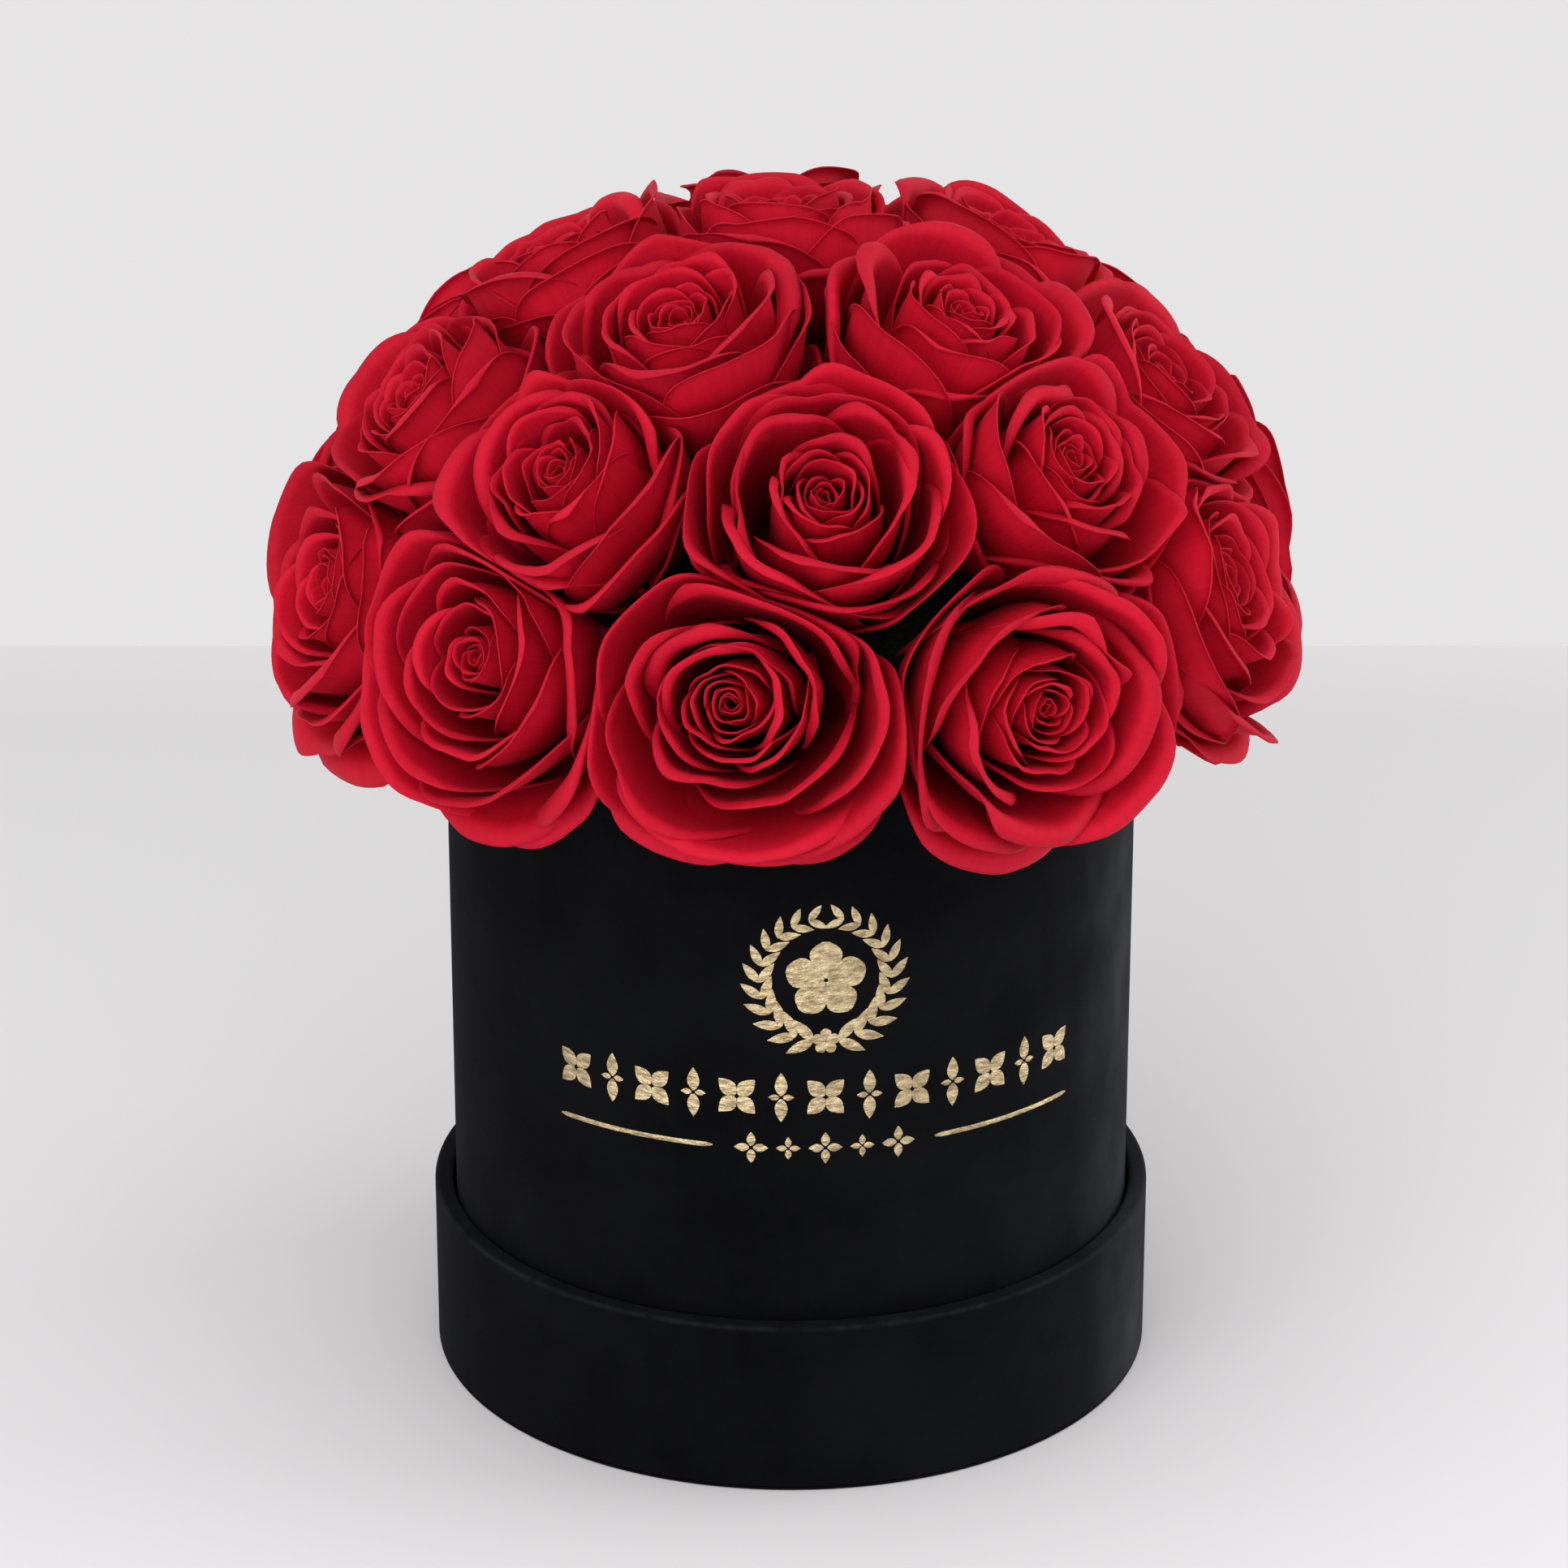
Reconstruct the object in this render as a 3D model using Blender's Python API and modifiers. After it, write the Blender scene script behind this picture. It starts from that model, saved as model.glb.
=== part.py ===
"""A round velvet-covered gift box filled with a dome of roses, standing in its own upturned lid.

Units are metres and +Z is up. The origin is the middle of the underside of the lid, which is the
face that the whole thing rests on. The front of the box looks along -Y.
"""

import math

import bmesh
import bpy
import numpy as np
from mathutils import Vector

# ---------------------------------------------------------------- driving dimensions

BOX_RADIUS = 0.0785  # outside of the covered box
BOX_HEIGHT = 0.1660
LID_HEIGHT = 0.0410
LID_CLEARANCE = 0.0008  # between the box and the covered inside of the lid, all round

BOARD = 0.0020  # greyboard of the walls, the floor and the lid
VELVET = 0.0008  # covering cloth with its backing
PAPER = 0.0004  # lining paper
EDGE_ROUND = 0.0012  # outer round of the covered edges
LID_TURN_IN = 0.0140  # how far the cloth is folded over the rim and down the inside
BOX_TURN_IN = 0.0160
BOX_TURN_UNDER = 0.0150  # how far the cloth is folded under the foot of the box

DOME_OVERHANG = 0.0365  # how far the rose faces stand out past the side of the box
DOME_HEIGHT = 0.1020  # from the widest level of the dome to the face of the top rose
DOME_RISE = 0.0040  # the widest level of the dome above the rim of the box

HEAD_LENGTH = 0.0450  # rose head along its own axis, from the calyx to the face
HEAD_GAP = 0.0006  # least room between two neighbouring heads
CALYX_RADIUS = 0.0055
STEM_RADIUS = 0.0030
STEM_LENGTH = 0.0220  # cut stem below the head

FOAM_PLAY = 0.0015  # between the foam block and the lining
FOAM_BELOW_RIM = 0.0060  # top of the foam block below the rim of the box
FOAM_SEAT = 0.0040  # between the foam dome and the heads above it

GAP = 0.0003  # between pieces that touch

# Each ring of roses: name, how many, how far down the dome from its top, and turn of the first one
# from the front towards +X. The last two are in degrees.
ROSE_RINGS = (
    ("bottom", 10, 76.6, -5.0),
    ("middle", 9, 50.4, 5.0),
    ("upper", 5, 27.7, -28.0),
    ("top", 1, 0.0, 0.0),
)

HEAD_WIDEST = 0.78  # share of the head's length above the calyx where it is widest
# A head's side, as (share of its greatest radius, share of its length above the calyx).
HEAD_SIDE = (
    (0.62, 0.985),
    (0.90, 0.90),
    (1.00, HEAD_WIDEST),
    (0.95, 0.56),
    (0.76, 0.32),
    (0.46, 0.12),
)

ROUND_STEPS = 64  # sides of the box and lid
ROSE_STEPS = 12  # sides of a rose and of its stem
DOME_STEPS = 7  # bands of the foam dome from its widest level to its top
STATIONS = 25  # levels at which a head is measured against its neighbours

# ---------------------------------------------------------------- what follows from them

WRAP = VELVET + GAP + BOARD + GAP + VELVET  # thickness of a covered wall
LID_RADIUS = BOX_RADIUS + LID_CLEARANCE + WRAP
BOX_FOOT = VELVET + GAP + BOARD + GAP + PAPER + GAP  # the box stands on the lining of the lid
BOX_RIM = BOX_FOOT + BOX_HEIGHT
DOME_RADIUS = BOX_RADIUS + DOME_OVERHANG
DOME_LEVEL = BOX_RIM + DOME_RISE

# ---------------------------------------------------------------- scene and helpers

for old in list(bpy.data.objects):
    bpy.data.objects.remove(old, do_unlink=True)


def new_collection(name):
    collection = bpy.data.collections.new(name)
    bpy.context.scene.collection.children.link(collection)
    return collection


PARTS = new_collection("flower_box")
CUTTERS = new_collection("stem_cutters")
CUTTERS.hide_render = True


def material(name, colour, roughness, metallic=0.0):
    made = bpy.data.materials.new(name)
    made.use_nodes = True
    shader = made.node_tree.nodes["Principled BSDF"]
    shader.inputs["Base Color"].default_value = (*colour, 1.0)
    shader.inputs["Roughness"].default_value = roughness
    shader.inputs["Metallic"].default_value = metallic
    made.diffuse_color = (*colour, 1.0)
    return made


GREYBOARD = material("greyboard", (0.30, 0.28, 0.25), 0.9)
BLACK_VELVET = material("black_velvet", (0.006, 0.006, 0.007), 0.95)
LINING_PAPER = material("lining_paper", (0.012, 0.012, 0.013), 0.85)
FLORAL_FOAM = material("floral_foam", (0.030, 0.045, 0.025), 1.0)
RED_PETAL = material("red_petal", (0.50, 0.006, 0.020), 0.75)


def add_object(name, mesh, finish, collection=PARTS):
    made = bpy.data.objects.new(name, mesh)
    collection.objects.link(made)
    mesh.materials.append(finish)
    return made


def turned(name, outline, finish, steps=ROUND_STEPS, closed=False):
    """Turns an outline of (radius, height) points about Z. It runs down its outer side."""
    mesh = bpy.data.meshes.new(name)
    count = len(outline)
    edges = [(i, i + 1) for i in range(count - 1)]
    if closed:
        edges.append((count - 1, 0))
    mesh.from_pydata([(radius, 0.0, height) for radius, height in outline], edges, [])
    made = add_object(name, mesh, finish)
    screw = made.modifiers.new("turn", "SCREW")
    screw.axis = "Z"
    screw.angle = 2 * math.pi
    screw.steps = steps
    screw.render_steps = steps
    screw.use_merge_vertices = True
    screw.merge_threshold = 0.00005
    screw.use_smooth_shade = True
    return made


def corner(radius, height, size, start, steps=3):
    """A quarter round about (radius, height), turning clockwise from the angle start."""
    turns = [math.radians(start - 90 * i / steps) for i in range(steps + 1)]
    return [(radius + size * math.cos(t), height + size * math.sin(t)) for t in turns]


def disc(name, radius, low, thickness, finish):
    high = low + thickness
    return turned(name, [(0, high), (radius, high), (radius, low), (0, low)], finish)


def ring(name, inner, outer, low, high, finish):
    outline = [(inner, high), (outer, high), (outer, low), (inner, low)]
    return turned(name, outline, finish, closed=True)


def lining_cup(name, outer, low, high, finish):
    """A paper floor with a paper wall standing on its edge."""
    inner = outer - PAPER
    floor = low + PAPER
    outline = [(0, floor), (inner, floor), (inner, high), (outer, high), (outer, low), (0, low)]
    return turned(name, outline, finish)


def folded_rim(outer, top, turn_in):
    """The cloth over a rim: up the inside, over the edge, and to the top of the outer side."""
    inner = outer - WRAP
    over = corner(inner + EDGE_ROUND, top - EDGE_ROUND, EDGE_ROUND, 180)
    down = corner(outer - EDGE_ROUND, top - EDGE_ROUND, EDGE_ROUND, 90)
    return [(inner, top - turn_in), *over, *down]


def rim_backing(outer, top, turn_in):
    """The inner side of that cloth, from the outer wall back over the board."""
    return [
        (outer - VELVET, top - VELVET),
        (outer - WRAP + VELVET, top - VELVET),
        (outer - WRAP + VELVET, top - turn_in),
    ]


# ---------------------------------------------------------------- lid


def make_lid():
    """The lid lies upside down: its flat top is on the table and its rim points up."""
    board_low = VELVET + GAP
    board_top = board_low + BOARD
    wall_outer = LID_RADIUS - VELVET - GAP
    wall_inner = wall_outer - BOARD
    rounded = corner(LID_RADIUS - EDGE_ROUND / 2, EDGE_ROUND / 2, EDGE_ROUND / 2, 0)
    turned("lid_top_cover", [(0, VELVET), (LID_RADIUS, VELVET), *rounded, (0, 0)], BLACK_VELVET)
    disc("lid_top_board", wall_inner - GAP, board_low, BOARD, GREYBOARD)
    ring("lid_wall", wall_inner, wall_outer, board_low, LID_HEIGHT - VELVET - GAP, GREYBOARD)
    side = [
        *folded_rim(LID_RADIUS, LID_HEIGHT, LID_TURN_IN),
        (LID_RADIUS, board_low),
        (LID_RADIUS - VELVET, board_low),
        *rim_backing(LID_RADIUS, LID_HEIGHT, LID_TURN_IN),
    ]
    turned("lid_side_cover", side, BLACK_VELVET, closed=True)
    lining_top = LID_HEIGHT - LID_TURN_IN - GAP
    lining_cup("lid_lining", wall_inner - GAP, board_top + GAP, lining_top, LINING_PAPER)


# ---------------------------------------------------------------- box


def make_box():
    floor_low = BOX_FOOT + VELVET + GAP
    floor_top = floor_low + BOARD
    wall_outer = BOX_RADIUS - VELVET - GAP
    wall_inner = wall_outer - BOARD
    fold = BOX_RADIUS - BOX_TURN_UNDER
    ring("box_wall", wall_inner, wall_outer, floor_low, BOX_RIM - VELVET - GAP, GREYBOARD)
    disc("box_floor", wall_inner - GAP, floor_low, BOARD, GREYBOARD)
    side = [
        *folded_rim(BOX_RADIUS, BOX_RIM, BOX_TURN_IN),
        *corner(BOX_RADIUS - EDGE_ROUND, BOX_FOOT + EDGE_ROUND, EDGE_ROUND, 0),
        (fold, BOX_FOOT),
        (fold, BOX_FOOT + VELVET),
        (BOX_RADIUS - VELVET, BOX_FOOT + VELVET),
        *rim_backing(BOX_RADIUS, BOX_RIM, BOX_TURN_IN),
    ]
    turned("box_cover", side, BLACK_VELVET, closed=True)
    disc("box_base_cover", fold - GAP, BOX_FOOT, VELVET, LINING_PAPER)
    lining_outer = wall_inner - GAP
    lining_top = BOX_RIM - BOX_TURN_IN - GAP
    lining_cup("box_lining", lining_outer, floor_top + GAP, lining_top, LINING_PAPER)
    return lining_outer - PAPER, floor_top + GAP + PAPER


# ---------------------------------------------------------------- where the roses stand


def rose_places():
    """Each rose as (name, middle of its face, direction it looks in), on an ellipsoid dome."""
    places = []
    for ring_name, count, down, first in ROSE_RINGS:
        across, up = math.sin(math.radians(down)), math.cos(math.radians(down))
        radius = DOME_RADIUS * across
        height = DOME_LEVEL + DOME_HEIGHT * up
        # A rose looks straight out of the ellipsoid.
        tilt = math.atan2(across / DOME_RADIUS, up / DOME_HEIGHT)
        for index in range(count):
            turn = math.radians(first + 360 * index / count)
            out = Vector((math.sin(turn), -math.cos(turn), 0))
            face = out * radius + Vector((0, 0, height))
            look = out * math.sin(tilt) + Vector((0, 0, math.cos(tilt)))
            number = f"_{index + 1:02d}" if count > 1 else ""
            places.append((f"rose_{ring_name}{number}", face, look))
    return places


def head_stations(place):
    """Points down the middle of a head, each with the head's share of its radius there."""
    _, face, look = place
    shares, levels = zip(*reversed(HEAD_SIDE))
    heights = np.linspace(levels[0], levels[-1], STATIONS)
    widths = np.interp(heights, levels, shares)
    return [(face - look * HEAD_LENGTH * (1 - h), w) for h, w in zip(heights.tolist(), widths.tolist())]


def head_radius(place, places):
    """The greatest radius that leaves every neighbour of the same radius its own room."""
    own = head_stations(place)
    limits = []
    for other in places:
        if other[0] == place[0]:
            continue
        for point, share in head_stations(other):
            for here, own_share in own:
                limits.append(((point - here).length - HEAD_GAP) / (share + own_share))
    return min(limits)


def turn_to(look):
    """The rotation that points +Z along look."""
    return look.to_track_quat("Z", "Y").to_euler()


# ---------------------------------------------------------------- roses


def make_rose(place, places):
    """Head, calyx and cut stem in one piece, with the middle of its calyx as origin."""
    name, face, look = place
    radius = head_radius(place, places)
    side = [(radius * across, HEAD_LENGTH * up) for across, up in HEAD_SIDE]
    outline = [
        (0, HEAD_LENGTH),
        *side,
        (CALYX_RADIUS, 0),
        (STEM_RADIUS, -STEM_RADIUS),
        (STEM_RADIUS, -STEM_LENGTH),
        (0, -STEM_LENGTH),
    ]
    made = turned(name, outline, RED_PETAL, steps=ROSE_STEPS)
    made.location = face - look * HEAD_LENGTH
    made.rotation_euler = turn_to(look)


# ---------------------------------------------------------------- foam


def stem_cutter(place):
    """A hole for one stem, from just past its tip to outside the foam."""
    name, face, look = place
    depth = STEM_LENGTH + GAP + FOAM_SEAT
    shape = bmesh.new()
    bmesh.ops.create_cone(
        shape,
        cap_ends=True,
        segments=ROSE_STEPS,
        radius1=STEM_RADIUS + GAP,
        radius2=STEM_RADIUS + GAP,
        depth=depth,
    )
    mesh = bpy.data.meshes.new(f"hole_{name}")
    shape.to_mesh(mesh)
    shape.free()
    cutter = add_object(mesh.name, mesh, FLORAL_FOAM, CUTTERS)
    cutter.location = face - look * (HEAD_LENGTH + STEM_LENGTH + GAP - depth / 2)
    cutter.rotation_euler = turn_to(look)
    cutter.hide_render = True
    cutter.display_type = "WIRE"


def make_foam(places, room, floor):
    """A block that fills the box, and a dome on it that the stems are pushed into."""
    block_top = BOX_RIM - FOAM_BELOW_RIM
    block_low = floor + GAP
    disc("foam_block", room - FOAM_PLAY, block_low, block_top - block_low, FLORAL_FOAM)
    radius = DOME_RADIUS - HEAD_LENGTH - FOAM_SEAT
    height = DOME_HEIGHT - HEAD_LENGTH - FOAM_SEAT
    foot = block_top + GAP
    turns = [math.pi / 2 * (1 - i / DOME_STEPS) for i in range(DOME_STEPS + 1)]
    curve = [(radius * math.cos(t), DOME_LEVEL + height * math.sin(t)) for t in turns[1:]]
    dome = turned(
        "foam_dome",
        [(0, DOME_LEVEL + height), *curve, (radius, foot), (0, foot)],
        FLORAL_FOAM,
    )
    for place in places:
        stem_cutter(place)
    holes = dome.modifiers.new("stem_holes", "BOOLEAN")
    holes.operation = "DIFFERENCE"
    holes.operand_type = "COLLECTION"
    holes.collection = CUTTERS
    holes.solver = "EXACT"


make_lid()
foam_room, foam_floor = make_box()
ROSES = rose_places()
make_foam(ROSES, foam_room, foam_floor)
for rose in ROSES:
    make_rose(rose, ROSES)
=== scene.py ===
"""Looks of the rose box: velvet box and lid, gilt mark, foam, and a dome of preserved roses."""

import math

import bmesh
import bpy
import numpy as np
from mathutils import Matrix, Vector


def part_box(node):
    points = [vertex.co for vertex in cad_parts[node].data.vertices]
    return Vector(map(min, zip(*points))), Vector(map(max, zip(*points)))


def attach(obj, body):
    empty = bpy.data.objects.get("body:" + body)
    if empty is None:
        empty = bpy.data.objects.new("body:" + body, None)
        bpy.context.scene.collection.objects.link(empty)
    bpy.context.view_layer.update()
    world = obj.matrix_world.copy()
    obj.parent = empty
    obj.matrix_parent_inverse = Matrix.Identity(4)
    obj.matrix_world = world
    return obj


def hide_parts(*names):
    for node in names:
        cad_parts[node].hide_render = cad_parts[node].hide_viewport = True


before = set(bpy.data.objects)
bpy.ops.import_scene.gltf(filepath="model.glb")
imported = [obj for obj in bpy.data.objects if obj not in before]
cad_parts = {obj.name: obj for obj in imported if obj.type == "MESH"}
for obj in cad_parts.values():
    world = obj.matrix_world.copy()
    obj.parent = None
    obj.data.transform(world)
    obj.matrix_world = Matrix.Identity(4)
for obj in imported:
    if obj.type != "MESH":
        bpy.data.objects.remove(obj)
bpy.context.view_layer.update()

MM = 0.001

# ---------------------------------------------------------------- sizes read from the frame

box_low, box_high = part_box("box_cover")
lid_low, lid_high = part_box("lid_side_cover")
base_low, base_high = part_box("lid_top_cover")
BOX_RADIUS = box_high[0]
BOX_FOOT, BOX_RIM = box_low[2], box_high[2]
LID_RADIUS = lid_high[0]
LID_RIM = lid_high[2]
CLOTH = base_high[2] - base_low[2]

# ---------------------------------------------------------------- camera, light and floor

VIEW_HEIGHT, VIEW_SIDE = 0.1373, -0.0016  # the point that the camera looks at
VIEW_DISTANCE = 1.300
VIEW_TILT = math.radians(22.0)
LENS = 130.4

FLOOR_FRONT, FLOOR_BACK, FLOOR_SIDE = -2.2, 0.455, 2.2
# Floor colours with painted light, from its front edge at 0 to its back edge at 1: painted lighter towards
# the front, where more light falls, and darker towards the back, where it meets the paler wall softly.
FLOOR_PAINTED_LIGHT = (
    (0.0, (0.87, 0.875, 0.89)), (0.70, (0.87, 0.875, 0.89)), (0.80, (0.78, 0.78, 0.79)),
    (0.90, (0.705, 0.705, 0.71)), (0.975, (0.67, 0.668, 0.675)), (1.0, (0.71, 0.705, 0.71)),
)
WALL_COLOUR, WALL_LIGHT = (1.0, 0.985, 0.99, 1), 0.79
# Studio lights: name, place, side of the square in metres, and power in watts.
LIGHTS = (
    ("top_box", (-0.25, -0.85, 1.4), 1.8, 8.0),
    ("front_box", (-0.8, -1.75, 0.6), 1.6, 14.5),
    ("right_box", (1.2, 0.15, 0.5), 0.8, 5.0),
)


def set_camera():
    data = bpy.data.cameras.new("camera")
    data.lens = LENS
    data.sensor_width = 36.0
    camera = bpy.data.objects.new("camera", data)
    bpy.context.scene.collection.objects.link(camera)
    back, up = math.cos(VIEW_TILT) * VIEW_DISTANCE, math.sin(VIEW_TILT) * VIEW_DISTANCE
    camera.location = (VIEW_SIDE, -back, VIEW_HEIGHT + up)
    camera.rotation_euler = (math.pi / 2 - VIEW_TILT, 0, 0)
    bpy.context.scene.camera = camera


def soft_light(name, place, size, power):
    """A square studio light that looks at the top of the box."""
    data = bpy.data.lights.new(name, "AREA")
    data.shape = "SQUARE"
    data.size = size
    data.energy = power
    light = bpy.data.objects.new(name, data)
    light.location = place
    look = Vector((0, 0, 0.15)) - Vector(place)
    light.rotation_euler = look.to_track_quat("-Z", "Y").to_euler()
    bpy.context.scene.collection.objects.link(light)


def set_stage():
    start()
    middle = (0, (FLOOR_FRONT + FLOOR_BACK) / 2, 0)
    bpy.ops.mesh.primitive_plane_add(size=1, location=middle)
    floor = bpy.context.object
    floor.name = "studio_floor"
    floor.scale = (2 * FLOOR_SIDE, FLOOR_BACK - FLOOR_FRONT, 1)
    bpy.ops.object.transform_apply(location=True, rotation=True, scale=True)
    f = Finish("pale_floor", (0.8, 0.8, 0.8), 0.75)
    apart = f.node("ShaderNodeSeparateXYZ")
    f.link(f.coordinates(), apart.inputs["Vector"])
    depth = f.share(apart.outputs["Y"], FLOOR_FRONT, FLOOR_BACK)
    # Painted light: the floor is lighter towards the front and darker towards the back.
    f.link(f.ramp(depth, FLOOR_PAINTED_LIGHT), f.shader.inputs["Base Color"])
    floor.data.materials.append(f.material)
    world = bpy.data.worlds.new("studio")
    bpy.context.scene.world = world
    world.use_nodes = True
    back = world.node_tree.nodes["Background"]
    back.inputs["Color"].default_value = WALL_COLOUR
    back.inputs["Strength"].default_value = WALL_LIGHT
    for light in LIGHTS:
        soft_light(*light)
    bpy.context.scene.view_settings.view_transform = "Standard"


# ---------------------------------------------------------------- materials


class Finish:
    """A Principled material with short calls for the nodes that these finishes need."""

    def __init__(self, name, colour, roughness, **settings):
        self.material = bpy.data.materials.new(name)
        self.material.use_nodes = True
        self.tree = self.material.node_tree
        self.shader = self.tree.nodes["Principled BSDF"]
        self.set("Base Color", (*colour, 1.0))
        self.set("Roughness", roughness)
        for socket, value in settings.items():
            self.set(socket.replace("_", " "), value)

    def set(self, socket, value):
        self.shader.inputs[socket].default_value = value

    def node(self, kind, **values):
        made = self.tree.nodes.new(kind)
        for key, value in values.items():
            if key in made.inputs:
                made.inputs[key].default_value = value
            else:
                setattr(made, key, value)
        return made

    def link(self, out, into):
        self.tree.links.new(out, into)

    def coordinates(self):
        return self.node("ShaderNodeTexCoord").outputs["Object"]

    def share(self, value, low, high):
        """How far a value is from low at 0 to high at 1."""
        made = self.node("ShaderNodeMapRange")
        made.inputs["From Min"].default_value = low
        made.inputs["From Max"].default_value = high
        self.link(value, made.inputs["Value"])
        return made.outputs["Result"]

    def stretched(self, vector, *scale):
        """Coordinates scaled along each axis, so that a pattern on them is drawn out."""
        made = self.node("ShaderNodeMapping")
        made.inputs["Scale"].default_value = scale
        self.link(vector, made.inputs["Vector"])
        return made.outputs["Vector"]

    def noise(self, scale, detail=3.0, roughness=0.55, vector=None):
        made = self.node("ShaderNodeTexNoise", Scale=scale, Detail=detail, Roughness=roughness)
        self.link(vector or self.coordinates(), made.inputs["Vector"])
        return made.outputs["Fac"]

    def ramp(self, value, stops):
        made = self.node("ShaderNodeValToRGB")
        ramp = made.color_ramp
        while len(ramp.elements) < len(stops):
            ramp.elements.new(0.5)
        for element, (place, colour) in zip(ramp.elements, stops):
            element.position = place
            element.color = (*colour, 1.0)
        self.link(value, made.inputs["Fac"])
        return made.outputs["Color"]

    def mix(self, kind, share, first, second):
        """Mixes two colours; each is a socket or a plain colour, and so is the share."""
        made = self.node("ShaderNodeMix", data_type="RGBA", blend_type=kind)
        for index, value in ((0, share), (6, first), (7, second)):
            if hasattr(value, "links"):
                self.link(value, made.inputs[index])
            else:
                made.inputs[index].default_value = value if index == 0 else (*value, 1.0)
        return made.outputs[2]

    def bump(self, height, distance, strength=1.0, below=None):
        made = self.node("ShaderNodeBump", Strength=strength, Distance=distance)
        self.link(height, made.inputs["Height"])
        if below is not None:
            self.link(below, made.inputs["Normal"])
        return made.outputs["Normal"]


# Painted sheen on the velvet, brightest on the right side where light grazes the pile: share of the way
# round, which starts at the back and goes over the left side, the front (0.5) and the right side, and how
# much.
PAINTED_SHEEN_ROUND = (
    (0.04, 0.12), (0.16, 0.16), (0.26, 0.02), (0.50, 0.0), (0.60, 0.06),
    (0.65, 0.15), (0.705, 1.0), (0.74, 0.72), (0.86, 0.22), (0.96, 0.12),
)
HIGHLIGHT_BAND = 1.3 * MM  # how far down from a rim the painted highlight runs


def grey(value):
    return (value, value, value)


def velvet(name, highlight_level=None):
    """Black velvet: deep pile, with painted sheen in patches round the box and a painted highlight along a
    rim, and a little lint.
    """
    f = Finish(name, (0.003, 0.003, 0.0035), 0.95)
    f.set("Sheen Weight", 0.02)
    f.set("Sheen Roughness", 0.35)
    f.set("Sheen Tint", (0.80, 0.86, 0.95, 1))
    f.set("Specular IOR Level", 0.04)
    place = f.coordinates()
    apart = f.node("ShaderNodeSeparateXYZ")
    f.link(place, apart.inputs["Vector"])
    front = f.node("ShaderNodeMath", operation="MULTIPLY")
    front.inputs[1].default_value = -1.0
    f.link(apart.outputs["Y"], front.inputs[0])
    turn = f.node("ShaderNodeMath", operation="ARCTAN2")
    f.link(apart.outputs["X"], turn.inputs[0])
    f.link(front.outputs[0], turn.inputs[1])
    round_box = f.share(turn.outputs[0], -math.pi, math.pi)
    # Painted sheen: the pile is painted lighter round the box where light grazes it, most on the right
    # side.
    painted_sheen = f.ramp(round_box, [(where, grey(value)) for where, value in PAINTED_SHEEN_ROUND])
    cloud = f.noise(34.0, 5.0, 0.62)
    wisps = f.noise(150.0, 4.0, 0.6, f.stretched(place, 1.0, 1.0, 0.35))
    clouded = f.ramp(cloud, [(0.36, grey(0.45)), (0.66, grey(1))])
    wispy = f.ramp(wisps, [(0.3, grey(0.6)), (0.7, grey(1))])
    sheen_patches = f.mix("MULTIPLY", 1.0, painted_sheen, clouded)
    sheen_patches = f.mix("MULTIPLY", 0.6, sheen_patches, wispy)
    dark = f.ramp(cloud, [(0.35, (0.0024, 0.0025, 0.0030)), (0.70, (0.0044, 0.0046, 0.0055))])
    # The pile's own dark colour, with the painted sheen colour mixed over it.
    pile_and_painted_light = f.mix("MIX", sheen_patches, dark, (0.042, 0.045, 0.051))
    if highlight_level:
        # Painted highlight along the rim, broken up by the wisps.
        near = f.share(apart.outputs["Z"], highlight_level - HIGHLIGHT_BAND, highlight_level)
        rim_highlight = f.ramp(near, [(0.0, grey(0)), (0.7, grey(0.35)), (1.0, grey(0.12))])
        uneven = f.ramp(wisps, [(0.4, grey(0.25)), (0.6, grey(1))])
        rim_highlight = f.mix("MULTIPLY", 1.0, rim_highlight, uneven)
        pile_and_painted_light = f.mix("MIX", rim_highlight, pile_and_painted_light, (0.030, 0.032, 0.036))
    cells = f.node("ShaderNodeTexVoronoi", Scale=42.0)
    f.link(place, cells.inputs["Vector"])
    chosen = f.ramp(cells.outputs["Color"], [(0.86, grey(0)), (0.87, grey(1))])
    speck = f.ramp(cells.outputs["Distance"], [(0.010, grey(1)), (0.016, grey(0))])
    lint = f.mix("MULTIPLY", 1.0, chosen, speck)
    f.link(f.mix("MIX", lint, pile_and_painted_light, (0.10, 0.10, 0.11)), f.shader.inputs["Base Color"])
    pile = f.noise(2600.0, 2.0, 0.7)
    nap = f.bump(cloud, 0.0016, 0.30)
    f.link(f.bump(pile, 0.0003, 0.5, nap), f.shader.inputs["Normal"])
    return f.material


def greyboard():
    f = Finish("greyboard", (0.30, 0.28, 0.25), 0.9)
    fibre = f.noise(900.0, 5.0, 0.7)
    f.link(f.ramp(fibre, [(0.3, (0.22, 0.205, 0.18)), (0.7, (0.36, 0.34, 0.31))]),
           f.shader.inputs["Base Color"])
    f.link(f.bump(fibre, 0.0002, 0.5), f.shader.inputs["Normal"])
    return f.material


def lining_paper():
    f = Finish("lining_paper", (0.014, 0.014, 0.015), 0.8)
    fibre = f.noise(1400.0, 4.0, 0.6)
    f.link(f.ramp(fibre, [(0.3, (0.010, 0.010, 0.011)), (0.7, (0.020, 0.020, 0.021))]),
           f.shader.inputs["Base Color"])
    f.link(f.bump(fibre, 0.00012, 0.4), f.shader.inputs["Normal"])
    return f.material


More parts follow.
